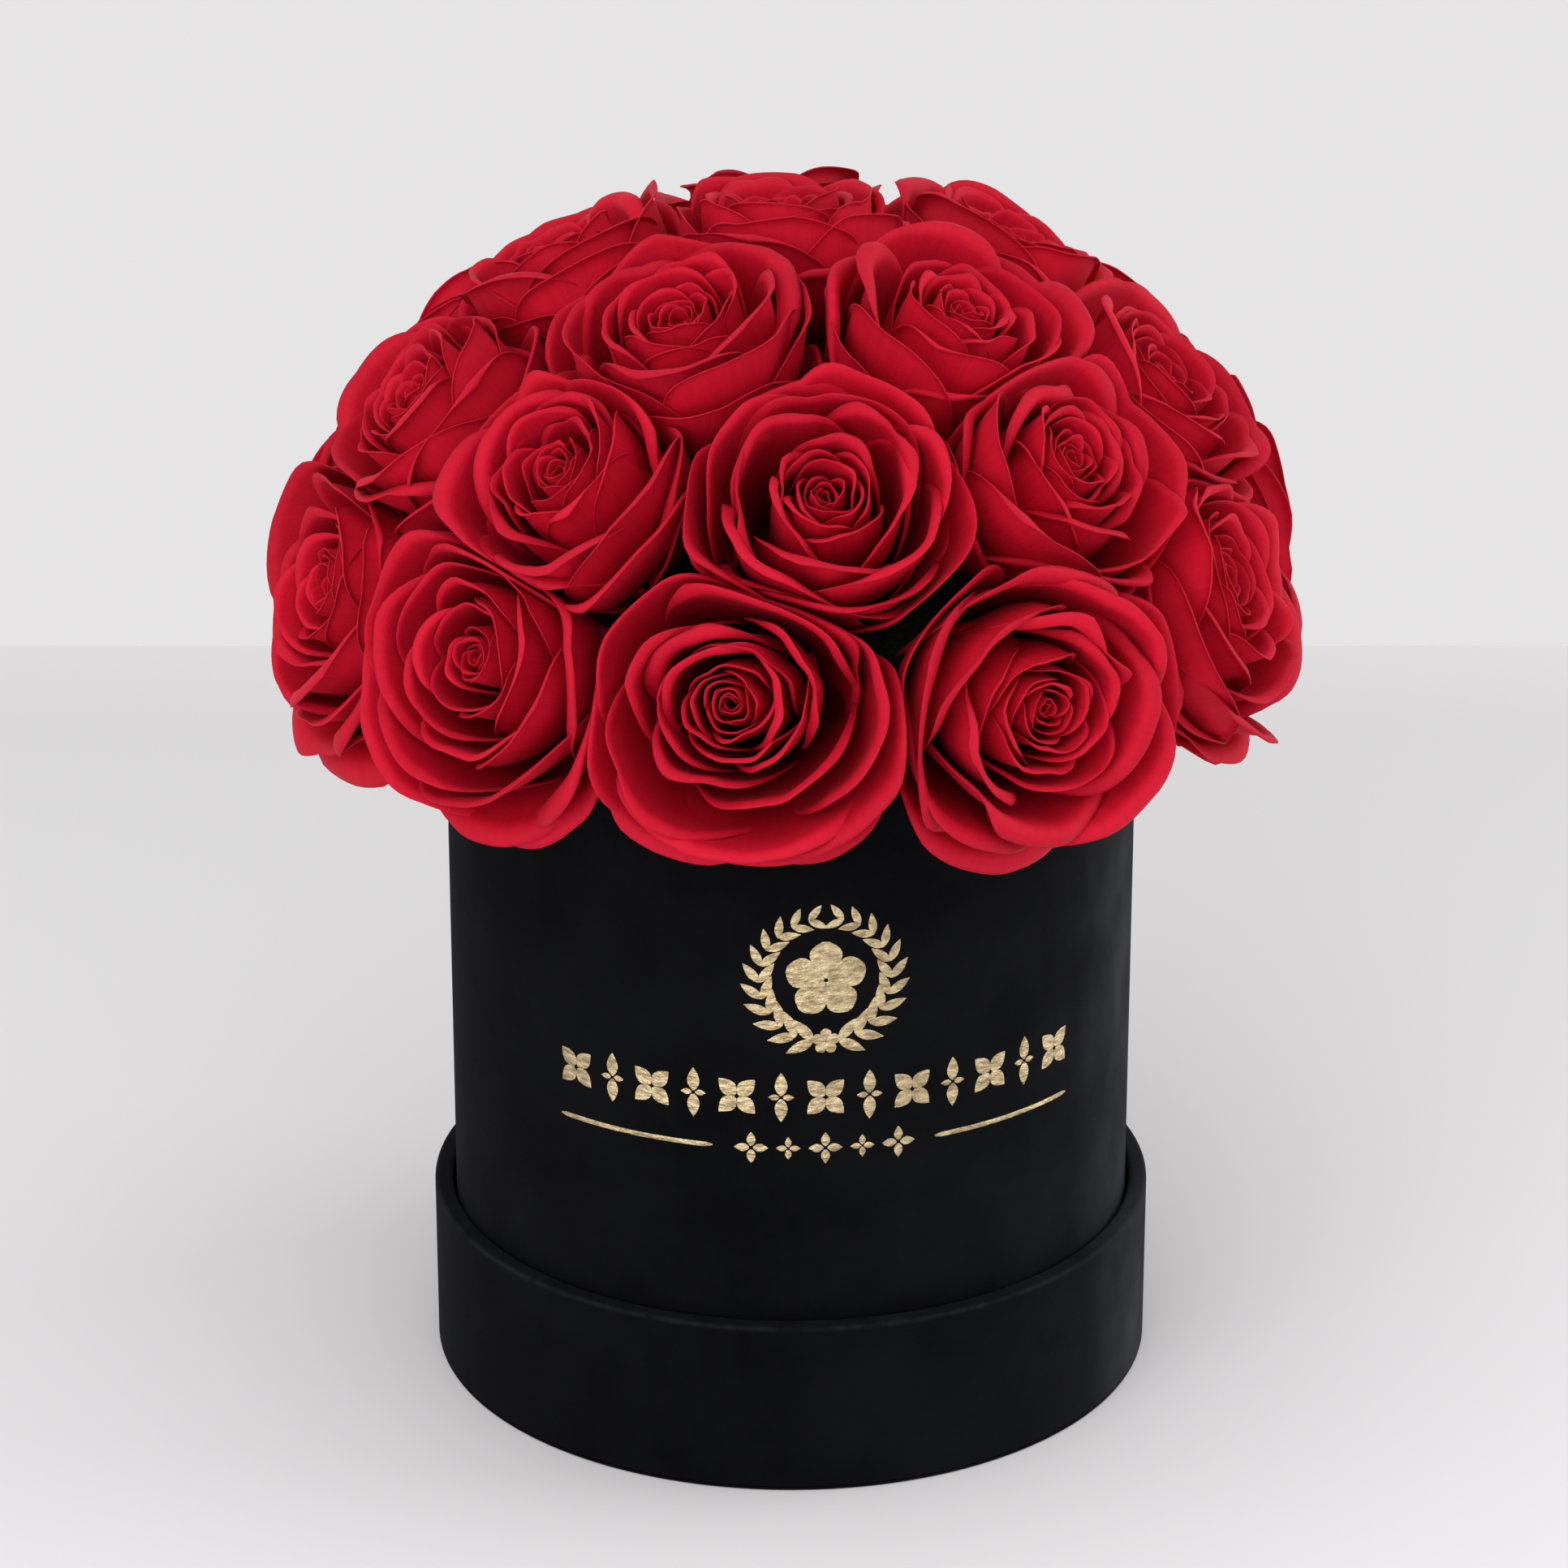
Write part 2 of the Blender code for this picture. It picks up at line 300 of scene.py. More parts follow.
def floral_foam():
    # Near-black green: dark foam, darkened further as painted shade for the gaps between the roses.
    f = Finish("floral_foam", (0.020, 0.028, 0.017), 1.0)
    cells = f.node("ShaderNodeTexVoronoi", Scale=900.0)
    f.link(f.coordinates(), cells.inputs["Vector"])
    pores = f.ramp(cells.outputs["Distance"], [(0.0, (0.004, 0.005, 0.004)), (0.6, (0.014, 0.018, 0.012))])
    f.link(pores, f.shader.inputs["Base Color"])
    f.link(f.bump(cells.outputs["Distance"], 0.0006, 0.8), f.shader.inputs["Normal"])
    return f.material


def gilt_foil():
    """Champagne foil pressed into velvet, so it keeps the fine crinkle of the pile."""
    f = Finish("gilt_foil", (0.58, 0.45, 0.27), 0.26, Metallic=1.0)
    ripple = f.noise(330.0, 4.0, 0.65, f.stretched(f.coordinates(), 1.0, 1.0, 2.6))
    f.link(f.ramp(ripple, [(0.36, (0.34, 0.255, 0.14)), (0.62, (0.75, 0.595, 0.35))]),
           f.shader.inputs["Base Color"])
    f.link(f.bump(ripple, 0.0012, 0.8), f.shader.inputs["Normal"])
    return f.material


def petal_red():
    """Matte preserved petal: dark towards its foot, finely veined, and a little different from the next."""
    f = Finish("petal_red", (0.56, 0.006, 0.02), 0.62)
    f.set("Sheen Weight", 0.03)
    f.set("Sheen Roughness", 0.4)
    f.set("Sheen Tint", (1.0, 0.25, 0.32, 1))
    f.set("Specular IOR Level", 0.09)
    place = f.node("ShaderNodeUVMap", uv_map="petal")
    apart = f.node("ShaderNodeSeparateXYZ")
    f.link(place.outputs["UV"], apart.inputs["Vector"])
    # Darker towards the foot. The last stop is painted shade: the rim is darker than the stop before it, to
    # tone down the light that the rims catch.
    along = f.ramp(apart.outputs["Y"], [
        (0.18, (0.10, 0.0008, 0.003)),
        (0.38, (0.44, 0.0036, 0.015)),
        (0.58, (0.64, 0.0074, 0.029)),
        (0.82, (0.61, 0.0072, 0.029)),
        (1.00, (0.56, 0.0076, 0.029)),
    ])
    veins = f.noise(1.6, 4.0, 0.6, f.stretched(place.outputs["UV"], 26.0, 1.6, 1.0))
    shade = f.node("ShaderNodeAttribute", attribute_name="shade")
    tones = f.ramp(shade.outputs["Fac"], [(0.0, (0.82, 0.80, 0.80)), (1.0, grey(1))])
    lines = f.ramp(veins, [(0.35, (0.80, 0.78, 0.78)), (0.65, grey(1))])
    toned = f.mix("MULTIPLY", 1.0, along, tones)
    f.link(f.mix("MULTIPLY", 0.5, toned, lines), f.shader.inputs["Base Color"])
    grain = f.noise(1500.0, 2.0, 0.6)
    f.link(f.bump(grain, 0.00018, 0.4, f.bump(veins, 0.0005, 0.35)), f.shader.inputs["Normal"])
    return f.material


def sepal_green():
    f = Finish("sepal_green", (0.05, 0.09, 0.03), 0.7)
    fibre = f.noise(500.0, 4.0, 0.6)
    f.link(f.ramp(fibre, [(0.3, (0.035, 0.060, 0.020)), (0.7, (0.075, 0.125, 0.045))]),
           f.shader.inputs["Base Color"])
    return f.material


# ---------------------------------------------------------------- modelling helpers


def start():
    """Leaves edit mode with nothing selected, ready for a new primitive."""
    if bpy.context.object and bpy.context.object.mode != "OBJECT":
        bpy.ops.object.mode_set(mode="OBJECT")
    bpy.ops.object.select_all(action="DESELECT")


def take(name, finish):
    made = bpy.context.object
    made.name = name
    made.data.name = name
    made.data.materials.append(finish)
    return made


def pick(obj, test, kind):
    """In edit mode, selects the edges whose two ends, or the faces whose middle, pass the test."""
    mesh = bmesh.from_edit_mesh(obj.data)
    for item in [*mesh.verts, *mesh.edges, *mesh.faces]:
        item.select = False
    if kind == "EDGE":
        for edge in mesh.edges:
            edge.select = all(test(vert.co) for vert in edge.verts)
    else:
        for face in mesh.faces:
            face.select = test(face.calc_center_median())
    bpy.context.tool_settings.mesh_select_mode = (False, kind == "EDGE", kind == "FACE")
    mesh.select_flush_mode()
    bmesh.update_edit_mesh(obj.data)


def finish_mesh(obj, angle):
    """Applies the object's place to its mesh and smooths what turns by less than the angle."""
    if obj.mode != "OBJECT":
        bpy.ops.object.mode_set(mode="OBJECT")
    bpy.ops.object.transform_apply(location=True, rotation=True, scale=True)
    bpy.ops.object.shade_smooth_by_angle(angle=math.radians(angle))
    return obj


def apply_modifier(obj, kind, **settings):
    modifier = obj.modifiers.new(kind.lower(), kind)
    for key, value in settings.items():
        setattr(modifier, key, value)
    bpy.context.view_layer.objects.active = obj
    bpy.ops.object.modifier_apply(modifier=modifier.name)


# ---------------------------------------------------------------- velvet wraps

SIDES = 192
RIM_ROUND = 1.1 * MM
BOX_TURN_IN, BOX_TURN_UNDER = 16 * MM, 15 * MM  # cloth down the inside of the rim, and under the foot
LID_TURN_IN = 14 * MM
NEAR = 0.01 * MM


def keep_rings(obj):
    """Of the picked edges, keeps those that run round the axis."""
    mesh = bmesh.from_edit_mesh(obj.data)
    for edge in mesh.edges:
        first, second = edge.verts
        level = abs(first.co.z - second.co.z) < NEAR
        round_axis = abs(first.co.xy.length - second.co.xy.length) < NEAR
        if edge.select and not (level and round_axis):
            edge.select = False
    mesh.select_flush_mode()
    bmesh.update_edit_mesh(obj.data)


def velvet_wrap(name, outer, inner, low, high, turn_in, turn_under, finish):
    """Cloth glued round a board wall: over the rim, down the inside, and under the foot."""
    start()
    height = high - low
    bpy.ops.mesh.primitive_cylinder_add(
        vertices=SIDES, radius=outer, depth=height, end_fill_type="NOTHING",
        location=(0, 0, low + height / 2),
    )
    wrap = take(name, finish)
    bpy.ops.object.transform_apply(location=True)
    bpy.ops.object.mode_set(mode="EDIT")
    pick(wrap, lambda p: abs(p.z - high) < NEAR, "EDGE")
    share = inner / outer
    bpy.ops.mesh.extrude_edges_move()
    bpy.ops.transform.resize(value=(share, share, 1), center_override=(0, 0, high))
    bpy.ops.mesh.extrude_edges_move(TRANSFORM_OT_translate={"value": (0, 0, -turn_in)})
    if turn_under:
        pick(wrap, lambda p: abs(p.z - low) < NEAR, "EDGE")
        bpy.ops.mesh.extrude_edges_move()
        under = (outer - turn_under) / outer
        bpy.ops.transform.resize(value=(under, under, 1), center_override=(0, 0, low))
    rims = (high, low) if turn_under else (high,)
    pick(wrap, lambda p: any(abs(p.z - z) < NEAR for z in rims)
         and (abs(p.xy.length - outer) < NEAR or abs(p.xy.length - inner) < NEAR), "EDGE")
    keep_rings(wrap)
    bpy.ops.mesh.bevel(offset=RIM_ROUND, segments=6, profile=0.5)
    bpy.ops.mesh.select_all(action="SELECT")
    bpy.ops.mesh.normals_make_consistent(inside=False)
    bpy.ops.object.mode_set(mode="OBJECT")
    apply_modifier(wrap, "SOLIDIFY", thickness=CLOTH, offset=-1.0, use_even_offset=True)
    return finish_mesh(wrap, 50)


def make_box_wrap(finish):
    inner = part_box("box_floor")[1][0] - CLOTH
    wrap = velvet_wrap(
        "box_velvet", BOX_RADIUS, inner, BOX_FOOT, BOX_RIM, BOX_TURN_IN, BOX_TURN_UNDER, finish,
    )
    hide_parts("box_cover")
    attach(wrap, "box")


def make_lid_wrap(finish):
    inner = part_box("lid_top_board")[1][0] - CLOTH
    wrap = velvet_wrap(
        "lid_velvet", LID_RADIUS, inner, lid_low[2], LID_RIM, LID_TURN_IN, 0, finish,
    )
    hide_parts("lid_side_cover")
    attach(wrap, "lid")
    start()
    bpy.ops.mesh.primitive_cylinder_add(
        vertices=SIDES, radius=LID_RADIUS, depth=CLOTH, location=(0, 0, CLOTH / 2),
    )
    top = take("lid_top_velvet", finish)
    bpy.ops.object.mode_set(mode="EDIT")
    pick(top, lambda p: p.z < 0 and p.xy.length > LID_RADIUS * 0.99, "EDGE")
    bpy.ops.mesh.bevel(offset=CLOTH * 0.85, segments=4)
    finish_mesh(top, 50)
    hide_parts("lid_top_cover")
    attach(top, "lid")


# ---------------------------------------------------------------- gilt mark

FOIL_LIFT = 0.14 * MM  # foil above the velvet
MARK_TURN = math.radians(5.5)  # middle of the mark, from the front towards +X
WREATH_LEVEL, WREATH_RADIUS = 123.0 * MM, 14.6 * MM
BAND_LEVEL, BAND_LENGTH, BAND_UNITS = 95.0 * MM, 127.0 * MM, 13
RULE_LEVEL, RULE_LENGTH, RULE_START = 82.7 * MM, 38.0 * MM, 25.0 * MM
DOT_SPACING = 8.2 * MM


def foil_blank(name, long, wide, outline, finish, steps=10):
    """A flat piece of foil along +X from the origin, whose half width follows the outline."""
    start()
    bpy.ops.mesh.primitive_grid_add(
        x_subdivisions=steps, y_subdivisions=4, size=1.0, location=(0.5, 0, 0),
    )
    blank = take(name, finish)
    bpy.ops.object.transform_apply(location=True)
    for vert in blank.data.vertices:
        share = vert.co.x
        half = wide * outline(share)
        rise = 1 - (2 * vert.co.y) ** 2
        vert.co = (share * long, vert.co.y * half, 0.5 * FOIL_LIFT * rise)
    return blank


def leaf_outline(share):
    return math.sin(math.pi * min(max(share, 0.02), 0.99) ** 0.8) ** 0.85


def petal_outline(share):
    return math.sin(math.pi * min(max(share, 0.03), 0.985) ** 1.5) ** 0.6


def rule_outline(share):
    """Even along its length, with short tapered ends."""
    return min(1.0, 20 * share + 0.3, 20 * (1 - share) + 0.3)


def lay(blank, places):
    """Copies of a blank, each turned and moved to its place: along, up, turn, size, width."""
    copies = []
    for along, up, turn, size, width in places:
        copy = blank.copy()
        copy.data = blank.data.copy()
        bpy.context.scene.collection.objects.link(copy)
        for vert in copy.data.vertices:
            x, y, z = vert.co.x * size, vert.co.y * size * width, vert.co.z
            vert.co = (
                along + x * math.cos(turn) - y * math.sin(turn),
                up + x * math.sin(turn) + y * math.cos(turn),
                z,
            )
        copies.append(copy)
    bpy.data.objects.remove(blank)
    return copies


def wreath_places():
    places = []
    for index in range(11):
        for hand in (-1, 1):
            round_turn = math.radians(-90 + hand * (11 + 15.4 * index))
            along = WREATH_RADIUS * math.cos(round_turn)
            up = WREATH_LEVEL + WREATH_RADIUS * math.sin(round_turn)
            for lean in (-1, 1):
                turn = round_turn + hand * math.radians(90 - lean * 38)
                places.append((along, up, turn, 1.0 - 0.03 * index, 1.0))
    return places


def floret_places(along, up, petals, size, first=0.0, width=1.0):
    """Petals round a point, each starting a little way out from it."""
    out = 0.45 * MM * size
    turns = [first + 2 * math.pi * index / petals for index in range(petals)]
    return [
        (along + out * math.cos(turn), up + out * math.sin(turn), turn, size, width) for turn in turns
    ]


def band_places():
    """A border of four-petalled florets with a slim upright lozenge of leaves between each two."""
    florets, leaves = [], []
    for index in range(BAND_UNITS):
        along = BAND_LENGTH * ((index + 0.5) / BAND_UNITS - 0.5)
        if index % 2 == 0:
            florets += floret_places(along, BAND_LEVEL, 4, 1.0, math.pi / 4)
        else:
            for turn in (math.pi / 2, -math.pi / 2):
                leaves.append((along, BAND_LEVEL + 0.4 * MM * math.sin(turn), turn, 0.93, 1.0))
            for turn in (0.0, math.pi):
                leaves.append((along + 0.4 * MM * math.cos(turn), BAND_LEVEL, turn, 0.42, 1.1))
    return florets, leaves


def make_gilt_mark(finish):
    florets, leaves = band_places()
    pieces = lay(foil_blank("wreath_leaf", 6.6 * MM, 2.5 * MM, leaf_outline, finish), wreath_places())
    heart = floret_places(0, WREATH_LEVEL, 5, 1.0, math.pi / 2)
    heart += floret_places(0, WREATH_LEVEL - WREATH_RADIUS, 5, 0.34, math.pi / 2)
    pieces += lay(foil_blank("heart_petal", 8.6 * MM, 7.2 * MM, petal_outline, finish), heart)
    pieces += lay(foil_blank("floret_petal", 5.2 * MM, 3.6 * MM, leaf_outline, finish), florets)
    pieces += lay(foil_blank("border_leaf", 5.9 * MM, 3.0 * MM, leaf_outline, finish), leaves)
    rules = [(-RULE_START, RULE_LEVEL, math.pi, 1.0, 1.0), (RULE_START, RULE_LEVEL, 0.0, 1.0, 1.0)]
    pieces += lay(foil_blank("rule", RULE_LENGTH, 1.1 * MM, rule_outline, finish, 48), rules)
    dots = []
    for index in range(-2, 3):
        size = 0.72 if index % 2 else 1.0
        dots += floret_places(index * DOT_SPACING, RULE_LEVEL, 4, size, 0.0, 0.9)
    pieces += lay(foil_blank("dot_petal", 3.3 * MM, 2.2 * MM, leaf_outline, finish), dots)
    start()
    for piece in pieces:
        piece.select_set(True)
    bpy.context.view_layer.objects.active = pieces[0]
    bpy.ops.object.join()
    mark = bpy.context.object
    mark.name = mark.data.name = "gilt_mark"
    for vert in mark.data.vertices:
        turn = MARK_TURN + vert.co.x / BOX_RADIUS
        radius = BOX_RADIUS + 0.5 * FOIL_LIFT + vert.co.z
        vert.co = (radius * math.sin(turn), -radius * math.cos(turn), vert.co.y)
    bpy.ops.object.mode_set(mode="EDIT")
    bpy.ops.mesh.select_all(action="SELECT")
    bpy.ops.mesh.remove_doubles(threshold=0.00001)
    bpy.ops.object.mode_set(mode="OBJECT")
    apply_modifier(mark, "SOLIDIFY", thickness=FOIL_LIFT, offset=-1.0)
    finish_mesh(mark, 60)
    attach(mark, "box")


# ---------------------------------------------------------------- roses

GOLDEN_TURN = math.radians(137.508)
PETAL_THICK = 0.28  # mm, as everything in a rose's own frame
PETALS = 37  # to a rose
HEAD = 45.0 * MM  # length of a head along its axis, as the CAD roses have it
HEART_DEPTH = 10.0 * MM  # middle of a rose's widest part, below its face
NEIGHBOURS = 85.0 * MM  # roses whose middles are closer than this are neighbours
# How far petals open, as shares of a rose's spread: between two neighbours, and where it has none.
CORNER_REACH, FREE_REACH = 1.36, 0.92
SQUEEZE, SINK = 6.0 * MM, 0.55  # how gradually a neighbour presses petals back, and how far they sink
FOOT_HEIGHT = 3.0  # of the petals, above the foot of the head
GUARDS = 3  # the outermost petals, which hang down on a rose of the lowest ring
PETAL_COLUMNS, PETAL_ROWS = 30, 15
ROLL_START = 0.68  # share of a petal's length at which its rim starts to roll back
# How high the rims stand, as shares of the head's height, from the bud to the outside.
RIM_AGES = (0, 0.15, 0.45, 0.66, 0.8, 0.9, 1)
RIM_LEVELS = (0.91, 0.96, 1.0, 0.985, 0.93, 0.83, 0.64)


def wander(rng, across, count, size):
    """A kinked line of small random steps along a petal's rim."""
    knots = np.linspace(-1, 1, count) + rng.normal(0, 0.25 / count, count)
    return np.interp(across, knots, rng.normal(0, size, count))


def ease(x):
    x = np.clip(x, 0, 1)
    return x * x * (3 - 2 * x)


def petal_rim(rng, age, reach, top, across):
    """How high and how far out the crest of a petal runs, and how much it falls towards its ends."""
    fall = np.interp(age, [0, 0.3, 0.6, 1], [0.14, 0.28, 0.54, 0.76]) * rng.uniform(0.88, 1.08)
    falling = fall * np.abs(across) ** rng.uniform(2.7, 4.0)
    middle = rng.uniform(-0.3, 0.3)
    tip = rng.uniform(0.2, 1.0) ** 2 * (0.4 + 4.6 * age)
    point = tip * np.clip(1 - np.abs(across - middle) / rng.uniform(0.4, 0.8), 0, 1) ** 1.2
    height = top - (top - FOOT_HEIGHT) * falling + 0.3 * point + wander(rng, across, 6, 0.3 + 0.75 * age)
    # One end of a petal is tucked under the next one.
    tuck = np.interp(age, [0, 0.3, 1], [0.3, 1.0, 1.8]) * rng.uniform(0.7, 1.2)
    radius = reach + tuck * across + 0.6 * point + wander(rng, across, 6, 0.15 + 0.6 * age)
    return height, radius, falling


def petal(rng, age, turn, reach, top, across, level):
    """Shapes a flat petal, in mm: age runs from the bud at 0 to the outside at 1.

    Across runs from -1 to 1 over its width, and level from its foot at 0 to its rim at 1.
    """
    along = np.clip(level / ROLL_START, 0, 1) ** 0.8
    rolled = np.clip((level - ROLL_START) / (1 - ROLL_START), 0, 1)
    half = math.radians(np.interp(age, [0, 0.12, 0.35, 0.6, 1], [150, 118, 86, 71, 63]))
    half *= rng.uniform(0.92, 1.1)
    rim_height, rim_radius, falling = petal_rim(rng, age, reach, top, across)
    # Inner petals are steep cups, and outer ones open like a dish, whose lower ends lie closer in.
    cup = np.interp(age, [0, 0.4, 0.7, 0.85, 1], [1.0, 0.95, 0.75, 0.5, 0.2])
    rim_radius = rim_radius * (1 - falling * (0.10 + 0.50 * (1 - cup)))
    out = cup * (1 - (1 - along) ** 2.3) + (1 - cup) * along ** 1.15
    belly = np.interp(age, [0, 0.5, 1], [1.5, 1.8, 2.2])
    foot_radius = 2.0 + 2.5 * age
    radius = foot_radius + (rim_radius - foot_radius) * out + belly * np.sin(math.pi * along)
    waves = np.sin(across * rng.uniform(5, 9) + rng.uniform(0, 6))
    waves = waves + 0.6 * np.sin(across * 13 + rng.uniform(0, 6))
    radius = radius + (0.06 + 0.34 * age) * rng.uniform(0.5, 1.2) * waves * along ** 3
    height = FOOT_HEIGHT + (rim_height - FOOT_HEIGHT) * along ** (0.95 + 0.3 * cup)
    # The rim rolls back, on from the slope that the petal has at its crest.
    curl_size = np.interp(age, [0, 0.3, 0.7, 1], [0.45, 1.05, 2.5, 3.9]) * rng.uniform(0.7, 1.3)
    curl = math.radians(np.interp(age, [0, 0.3, 0.7, 1], [36, 58, 78, 88]) * rng.uniform(0.6, 1.2))
    curl = curl * (1 - 0.45 * ease((np.abs(across) - 0.55) / 0.45))
    curl = curl * np.clip(1 + wander(rng, across, 6, 0.35), 0.15, 1.8) * rolled
    slope = (1 - cup) * math.radians(38)
    radius = radius + curl_size * (np.cos(slope) - np.cos(slope + curl))
    height = height + curl_size * (np.sin(slope + curl) - np.sin(slope))
    # A petal is a little flatter across than the circle that it stands on.
    flat = rng.uniform(1.05, 1.3)
    angle = across * half * (0.55 + 0.45 * ease(along * 1.4))
    pull = (flat - 1) * radius
    lean = pull * np.cos(np.clip(angle, -1.9, 1.9))
    radius = np.sqrt(np.maximum(lean ** 2 + (flat * radius) ** 2 - pull ** 2, 0)) - lean
    return np.stack([radius * np.cos(turn + angle), radius * np.sin(turn + angle), height], -1)


def room_round(own, others, across, up, spread, hanging):
    """How far a rose may open towards each turn round its axis before it meets a neighbour, in mm.

    It opens furthest into the corners between its neighbours, and less where it has none, as
    below a hanging rose.
    """
    turns = np.linspace(-math.pi, math.pi, 73)
    ways = np.outer(np.cos(turns), across) + np.outer(np.sin(turns), up)
    room = np.full(len(turns), CORNER_REACH * spread * MM)
    faced = np.zeros(len(turns))
    for other in others:
        way = other - own
        distance = np.linalg.norm(way)
        share = ways @ way / distance
        room = np.where(share > 0.2, np.minimum(room, distance / 2 / np.maximum(share, 0.2)), room)
        if distance < NEIGHBOURS:
            faced = np.maximum(faced, share)
    free = (faced < 0.55) | ((ways[:, 2] < -0.35) & hanging)
    room = np.where(free, np.minimum(room, FREE_REACH * spread * MM), room)
    return lambda turn: np.interp((turn + math.pi) % (2 * math.pi) - math.pi, turns, room) / MM


def shape_petals(rng, blank, spread, tall, room, hanging):
    """Places of all the points of a head, in mm, with its foot at the origin and looking up."""
    turn = rng.uniform(0, 2 * math.pi)
    wide = 1 + rng.normal(0, 0.04)
    lean = rng.normal(0, 1.2, 2)  # of the bud to one side, in mm
    # Petals open in three whorls, each a step further out than the one inside it.
    gap_age, gap = rng.uniform(0.5, 0.75), rng.uniform(0.6, 4.8)
    inner_age, inner = rng.uniform(0.22, 0.42), rng.uniform(0, 2.2)
    opening = rng.uniform(1.15, 1.45)
    tall = tall + rng.normal(0, 0.7)
    points = np.zeros_like(blank)
    number = blank[:, 2].round().astype(int)
    for index in range(PETALS):
        own = number == index
        across, level = 2 * blank[own, 0] - 1, blank[own, 1]
        age = index / (PETALS - 1)
        reach = 1.0 + (spread - gap - inner - 1.0) * age ** opening + rng.normal(0, 0.12 + 0.55 * age)
        reach += gap * (age > gap_age) + inner * (age > inner_age)
        top = tall * np.interp(age, RIM_AGES, RIM_LEVELS) + rng.normal(0, 0.4 + 0.8 * age)
        facing = turn + index * GOLDEN_TURN + rng.normal(0, 0.10)
        reach += (room(facing) - reach) * 0.9 * ease((age - 0.6) / 0.4)
        if hanging and index >= PETALS - GUARDS:  # lies over the rim of the box
            side = index - (PETALS - GUARDS) - (GUARDS - 1) / 2
            facing = -math.pi / 2 + 0.75 * side + rng.normal(0, 0.12)
            reach, top = spread - 3.0, top * 0.83
        made = petal(rng, age, facing, reach, top, across, level)
        sway = (made[:, 2] / tall) ** 2 * (1 - age)  # most at the top of the bud
        made[:, 0] = (made[:, 0] + lean[0] * sway) * wide
        made[:, 1] = (made[:, 1] + lean[1] * sway) / wide
        points[own] = made
    return points


def make_head_blank(finish):
    """All the petals of a head as flat squares, the first at height 0 and each next one 1 higher."""
    start()
    bpy.ops.mesh.primitive_grid_add(
        x_subdivisions=PETAL_COLUMNS, y_subdivisions=PETAL_ROWS, size=1, location=(0.5, 0.5, 0),
    )
    blank = take("petal_blank", finish)
    bpy.ops.object.transform_apply(location=True)
    blank.data.uv_layers[0].name = "petal"
    bpy.ops.object.shade_smooth()
    for index in range(1, PETALS):
        copy = blank.copy()
        copy.data = blank.data.copy()
        copy.location.z = index
        bpy.context.scene.collection.objects.link(copy)
        copy.select_set(True)
    bpy.ops.object.join()
    return blank


def rose_frame(node):
    """Middle of the face, and the side, up and look directions, from the CAD rose's own shape."""
    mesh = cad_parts[node].data
    points = np.empty(len(mesh.vertices) * 3)
    mesh.vertices.foreach_get("co", points)
    points = np.unique(points.reshape(-1, 3).round(6), axis=0)
    middle = points.mean(0)
    # A rose with its stem is longest along its own axis.
    look = np.linalg.svd(points - middle)[2][0]
    centre = np.array([0, 0, BOX_RIM])
    if look @ (middle - centre) < 0:
        look = -look
    face = middle + look * ((points - middle) @ look).max()
    side = np.cross([0, 0, 1], look)
    if np.linalg.norm(side) < 0.1:
        side = np.array([1.0, 0, 0])
    side /= np.linalg.norm(side)
    up = np.cross(look, side)
    return face, side, up, look


def press(points, own, others, look):
    """Presses a rose back from the middle planes between it and its neighbours.

    What is pushed back also sinks a little, so that a crease forms where two roses meet. Deep in
    the crease, out of sight, petals of both still cross by up to about 2 mm.
    """
    for other in others:
        way = other - own
        distance = np.linalg.norm(way)
        if distance > NEIGHBOURS:
            continue
        way = way / distance
        limit = distance / 2 - 0.2 * MM
        along = (points - own) @ way
        over = along > limit - SQUEEZE
        squeezed = limit - SQUEEZE * np.exp(-(along[over] - (limit - SQUEEZE)) / SQUEEZE)
        points[over] += np.outer(squeezed - along[over], way + SINK * look)
    return points


def clear_rim(points):
    """Lifts petals over the rim of the box, or moves them outside its wall."""
    room = 1.0 * MM
    radius = np.hypot(points[:, 0], points[:, 1])
    low = BOX_RIM + room - points[:, 2]
    inside = BOX_RADIUS + room - radius
    clash = (low > 0) & (inside > 0)
    lift = clash & (low <= inside * 1.5)
    points[lift, 2] += low[lift]
    shove = clash & ~lift & (radius > 0.05)
    scale = (BOX_RADIUS + room) / np.maximum(radius[shove], 1e-6)
    points[shove, 0] *= scale
    points[shove, 1] *= scale
    return points


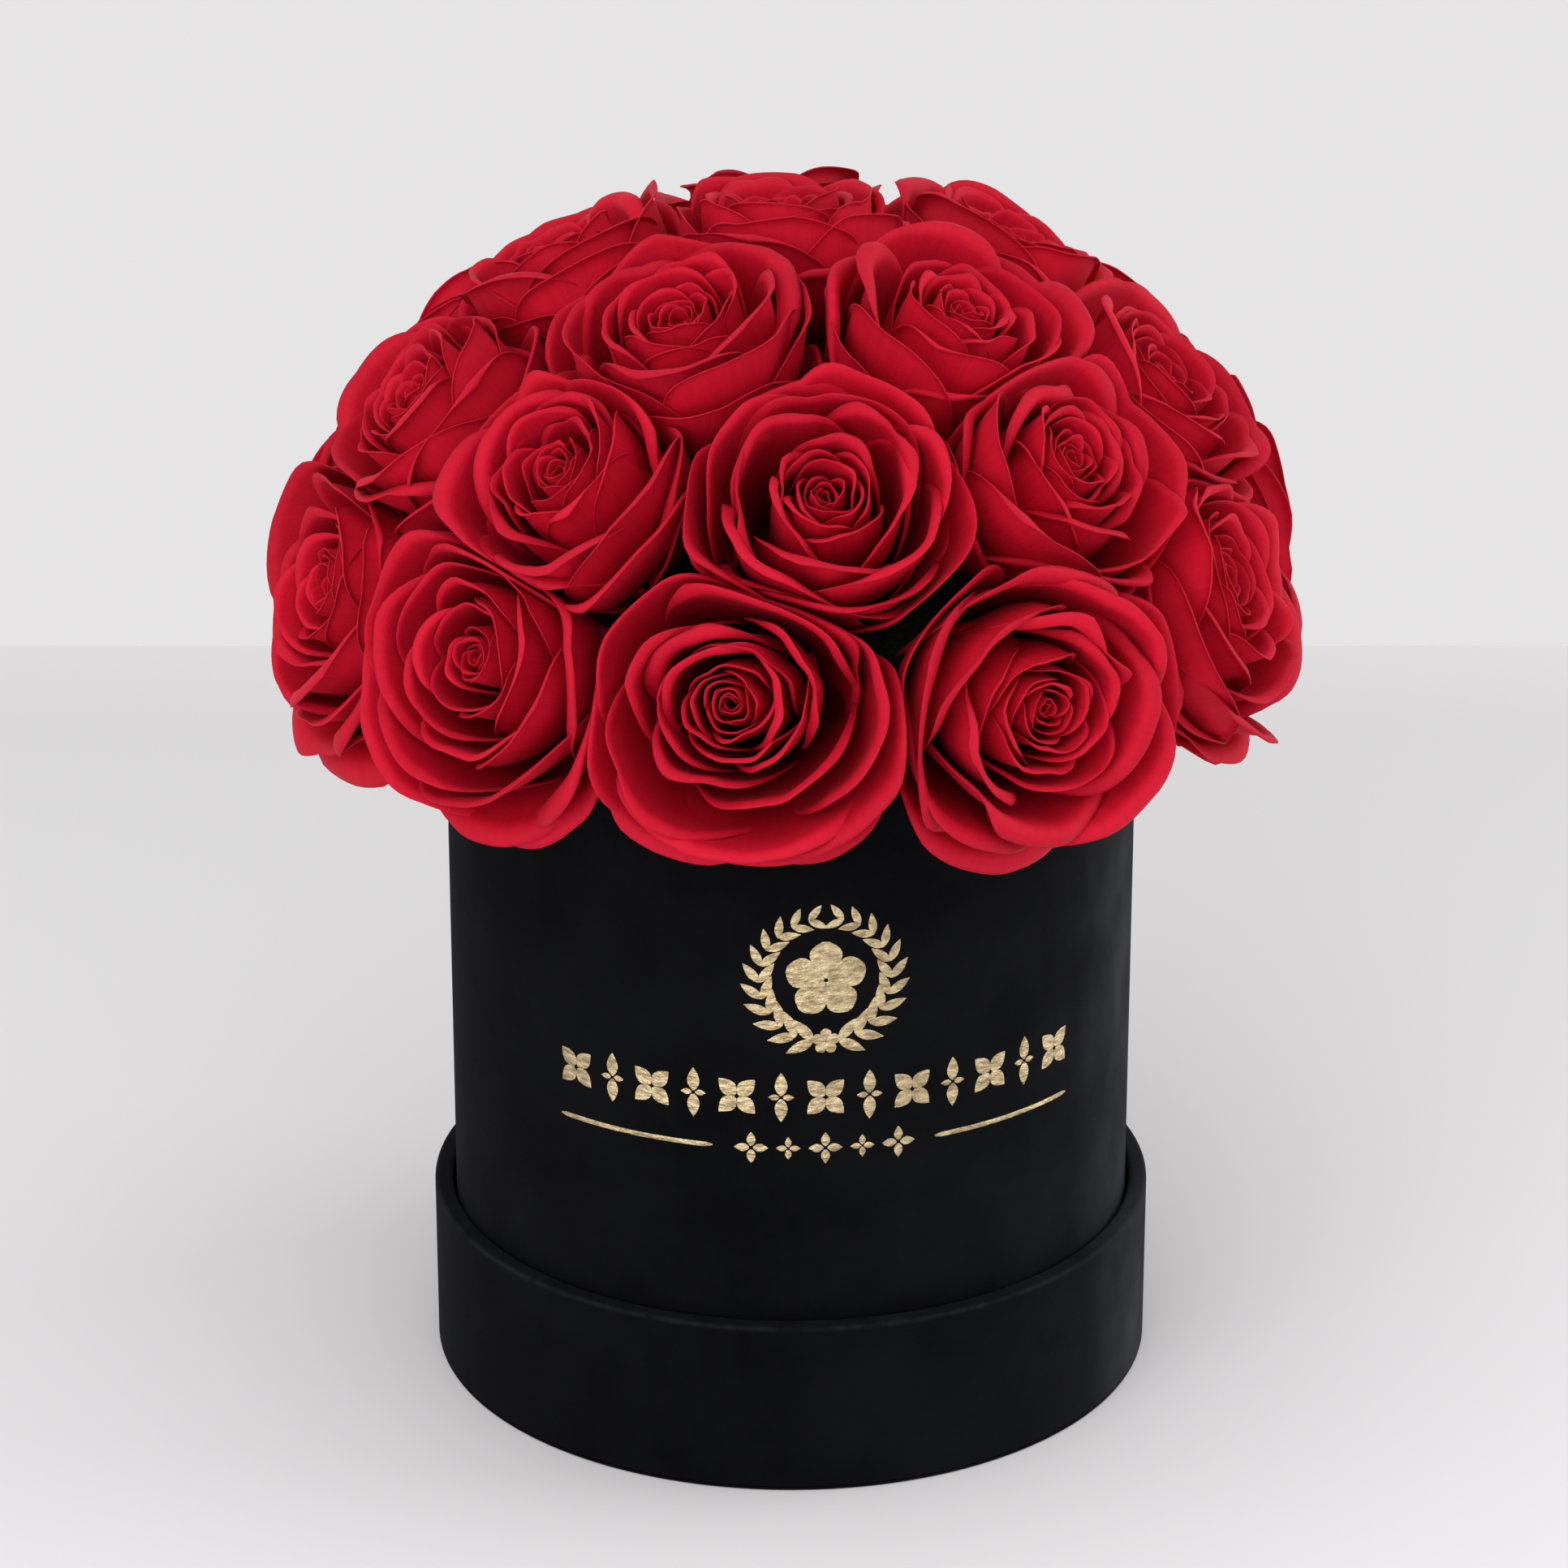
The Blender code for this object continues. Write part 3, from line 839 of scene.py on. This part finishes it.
def make_rose(node, blank, place, middles, finishes, seed):
    rng = np.random.default_rng(seed)
    face, side, up, look = place
    nod, tip = rng.normal(0, math.radians(3.5), 2)
    leaning = look + nod * side + tip * up
    leaning /= np.linalg.norm(leaning)
    across = np.cross(up, leaning)
    across /= np.linalg.norm(across)
    turned = np.stack([across, np.cross(leaning, across), leaning])
    own = face - look * HEART_DEPTH
    others = [m for m in middles if np.linalg.norm(m - own) > MM]
    nearest = sorted(np.linalg.norm(m - own) for m in others)[:5]
    spread = np.mean(nearest) / 2 / MM * 1.08
    start()
    rose = blank.copy()
    rose.data = blank.data.copy()
    rose.name = rose.data.name = f"{node}_bloom"
    bpy.context.scene.collection.objects.link(rose)
    mesh = rose.data
    flat = np.empty(len(mesh.vertices) * 3)
    mesh.vertices.foreach_get("co", flat)
    flat = flat.reshape(-1, 3)
    hanging = "bottom" in node
    room = room_round(own, others, turned[0], turned[1], spread, hanging)
    tall = HEAD / MM - (3 if hanging else 1)
    local = shape_petals(rng, flat, spread, tall, room, hanging) * MM
    world = (face - look * HEAD) + local @ turned
    world = clear_rim(press(world, own, others, look))
    mesh.vertices.foreach_set("co", world.ravel())
    tones = rng.uniform(0, 1, PETALS)[flat[:, 2].round().astype(int)]
    shade = mesh.attributes.new("shade", "FLOAT", "POINT")
    shade.data.foreach_set("value", tones.astype(np.float32))
    mesh.update()
    apply_modifier(rose, "SOLIDIFY", thickness=PETAL_THICK * MM, offset=0.0)
    add_stem(rose, face - look * HEAD, look, finishes["green"])
    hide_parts(node)
    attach(rose, "box")


STEM_RADIUS, STEM_LENGTH, CALYX_RADIUS = 2.9 * MM, 22.0 * MM, 5.4 * MM


def add_stem(rose, foot, look, finish):
    """A cut stem that swells into the calyx under the petals, joined to its rose."""
    start()
    way = Vector(look).to_track_quat("Z", "Y").to_euler()
    bpy.ops.mesh.primitive_cylinder_add(
        vertices=20, radius=STEM_RADIUS, depth=STEM_LENGTH,
        location=Vector(foot - look * STEM_LENGTH / 2), rotation=way,
    )
    stem = take("stem", finish)
    bpy.ops.object.mode_set(mode="EDIT")
    pick(stem, lambda p: p.z > STEM_LENGTH * 0.4, "FACE")
    top = Vector(foot)
    for reach, wide in ((2.5 * MM, CALYX_RADIUS / STEM_RADIUS), (3.0 * MM, 1.05)):
        move = Vector(look) * reach
        bpy.ops.mesh.extrude_region_move(TRANSFORM_OT_translate={"value": move})
        top = top + move
        bpy.ops.transform.resize(value=(wide, wide, wide), center_override=top)
    finish_mesh(stem, 40)
    bpy.ops.object.select_all(action="DESELECT")
    stem.select_set(True)
    rose.select_set(True)
    bpy.context.view_layer.objects.active = rose
    bpy.ops.object.join()


def make_roses(finishes):
    nodes = sorted(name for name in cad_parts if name.startswith("rose_"))
    places = {node: rose_frame(node) for node in nodes}
    middles = [place[0] - place[3] * HEART_DEPTH for place in places.values()]
    blank = make_head_blank(finishes["petal"])
    for number, node in enumerate(nodes):
        make_rose(node, blank, places[node], middles, finishes, 100 + number)
    bpy.data.objects.remove(blank)


# ---------------------------------------------------------------- build

set_camera()
set_stage()
FINISHES = {"petal": petal_red(), "green": sepal_green()}
make_box_wrap(velvet("box_velvet"))
make_lid_wrap(velvet("lid_velvet", highlight_level=LID_RIM))
make_gilt_mark(gilt_foil())
make_roses(FINISHES)
board, paper, foam = greyboard(), lining_paper(), floral_foam()
for node, finish in (
    ("lid_top_board", board), ("lid_wall", board), ("box_wall", board), ("box_floor", board),
    ("lid_lining", paper), ("box_lining", paper), ("box_base_cover", paper),
    ("foam_block", foam), ("foam_dome", foam),
):
    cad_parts[node].data.materials.clear()
    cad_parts[node].data.materials.append(finish)
